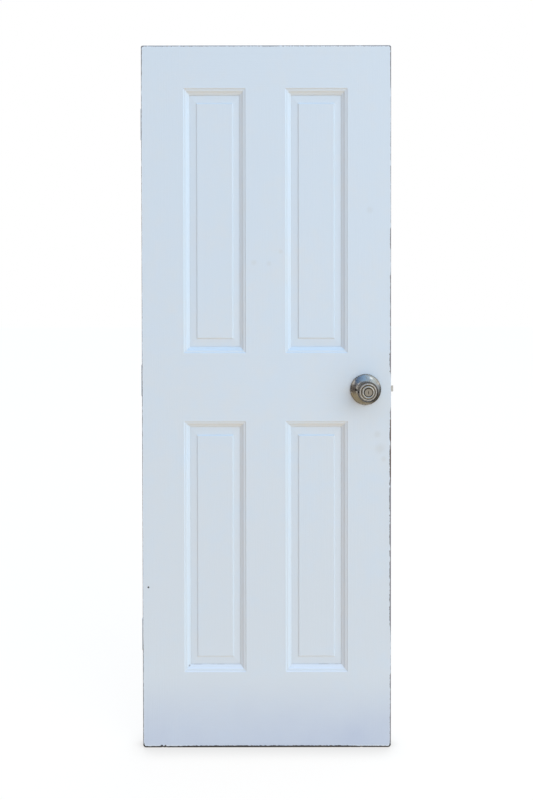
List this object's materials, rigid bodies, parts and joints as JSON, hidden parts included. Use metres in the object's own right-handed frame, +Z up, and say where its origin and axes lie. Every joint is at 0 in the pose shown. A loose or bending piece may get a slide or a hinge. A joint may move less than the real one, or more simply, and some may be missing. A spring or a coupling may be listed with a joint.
{
  "type": "four-panel interior door",
  "caption": "Painted wooden door leaf with raised panels, a ringed knob with a spring latch, and butt hinges to hang it on a jamb.",
  "frame": {"origin": "middle of the leaf's underside, halfway through its thickness", "axes": "+X to the right as seen from the front, +Y from the front face to the rear face, +Z up"},
  "size_m": [0.726, 0.1683, 2.0075],
  "materials": {
    "painted_wood": "old white paint, worn at the edges",
    "bare_wood": "bare",
    "satin_nickel": "satin, aged",
    "plated_steel": "plated",
    "painted_hinge": "painted over with the door"
  },
  "bodies": {
    "hinge_jamb_side": {"top_hinge_jamb_leaf": "painted_hinge", "middle_hinge_jamb_leaf": "painted_hinge", "bottom_hinge_jamb_leaf": "painted_hinge", "top_hinge_pin": "painted_hinge", "middle_hinge_pin": "painted_hinge", "bottom_hinge_pin": "painted_hinge"},
    "door_leaf": {"hinge_stile": "painted_wood", "lock_stile": "painted_wood", "top_rail": "painted_wood", "lock_rail": "painted_wood", "bottom_rail": "painted_wood", "upper_mullion": "painted_wood", "lower_mullion": "painted_wood", "upper_left_panel": "painted_wood", "upper_right_panel": "painted_wood", "lower_left_panel": "painted_wood", "lower_right_panel": "painted_wood", "rail_dowels": "bare_wood", "mullion_dowels": "bare_wood", "outside_rose": "satin_nickel", "inside_rose": "satin_nickel", "latch_faceplate": "satin_nickel", "outside_mounting_plate": "plated_steel", "inside_mounting_plate": "plated_steel", "through_bolts": "plated_steel", "latch_case": "plated_steel", "faceplate_screws": "plated_steel", "latch_spring": "plated_steel", "top_hinge_stile_leaf": "painted_hinge", "middle_hinge_stile_leaf": "painted_hinge", "bottom_hinge_stile_leaf": "painted_hinge", "hinge_screws": "painted_hinge"},
    "knobs": {"outside_knob": "satin_nickel", "inside_knob": "satin_nickel", "retaining_rings": "plated_steel", "key_cylinder": "satin_nickel", "spindle": "plated_steel", "latch_cam": "plated_steel"},
    "latch": {"latch_bolt": "satin_nickel", "latch_drawbar": "plated_steel"},
    "key_and_button": {"key_plug": "satin_nickel", "lock_rod": "plated_steel", "turn_button": "satin_nickel"}
  },
  "joints": [
    {"name": "door_swing", "type": "hinge", "parent": "hinge_jamb_side", "child": "door_leaf", "pos_m": [-0.35575, 0.0232, 0], "axis": [0, 0, 1], "range_deg": [0, 175]},
    {"name": "knob_turn", "type": "hinge", "parent": "door_leaf", "child": "knobs", "pos_m": [0.2825, 0, 1.0285], "axis": [0, 1, 0], "range_deg": [0, 60], "stiffness_Nm_per_rad": 0.6},
    {"name": "latch_slide", "type": "slide", "parent": "door_leaf", "child": "latch", "axis": [-1, 0, 0], "range_m": [0, 0.0101], "deforming": ["latch_spring"]},
    {"name": "lock_turn", "type": "hinge", "parent": "knobs", "child": "key_and_button", "pos_m": [0.2825, 0, 1.0285], "axis": [0, 1, 0], "range_deg": [0, 90]}
  ],
  "couplings": [
    {"joint": "latch_slide", "follows": "knob_turn", "m_per_rad": 0.0095493}
  ]
}
